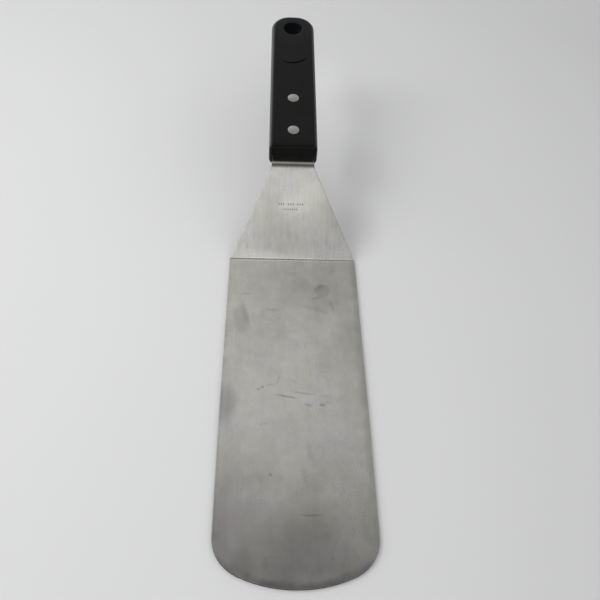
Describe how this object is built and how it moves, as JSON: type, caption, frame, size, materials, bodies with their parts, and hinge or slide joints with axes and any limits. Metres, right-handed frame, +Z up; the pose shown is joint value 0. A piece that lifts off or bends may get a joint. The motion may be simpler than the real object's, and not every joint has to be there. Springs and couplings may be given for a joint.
{
  "type": "offset griddle turner",
  "caption": "Round-tipped flat stainless turner blade on a cranked neck, with a riveted moulded handle and a hanging hole.",
  "frame": {"origin": "centre of the blade's flat underside, halfway from the tip to the bend line", "axes": "+Y from the blade towards the handle, +Z up from the blade's flat, +X across the blade"},
  "size_m": [0.0756, 0.3896, 0.0591],
  "materials": {
    "stainless_sheet": "brushed, worn",
    "handle_plastic": "fine moulded satin",
    "rivet_metal": "turned satin"
  },
  "bodies": {
    "root": {"blade": "stainless_sheet", "handle": "handle_plastic", "front_rivet_pin": "rivet_metal", "front_rivet_socket": "rivet_metal", "rear_rivet_pin": "rivet_metal", "rear_rivet_socket": "rivet_metal"}
  },
  "joints": []
}
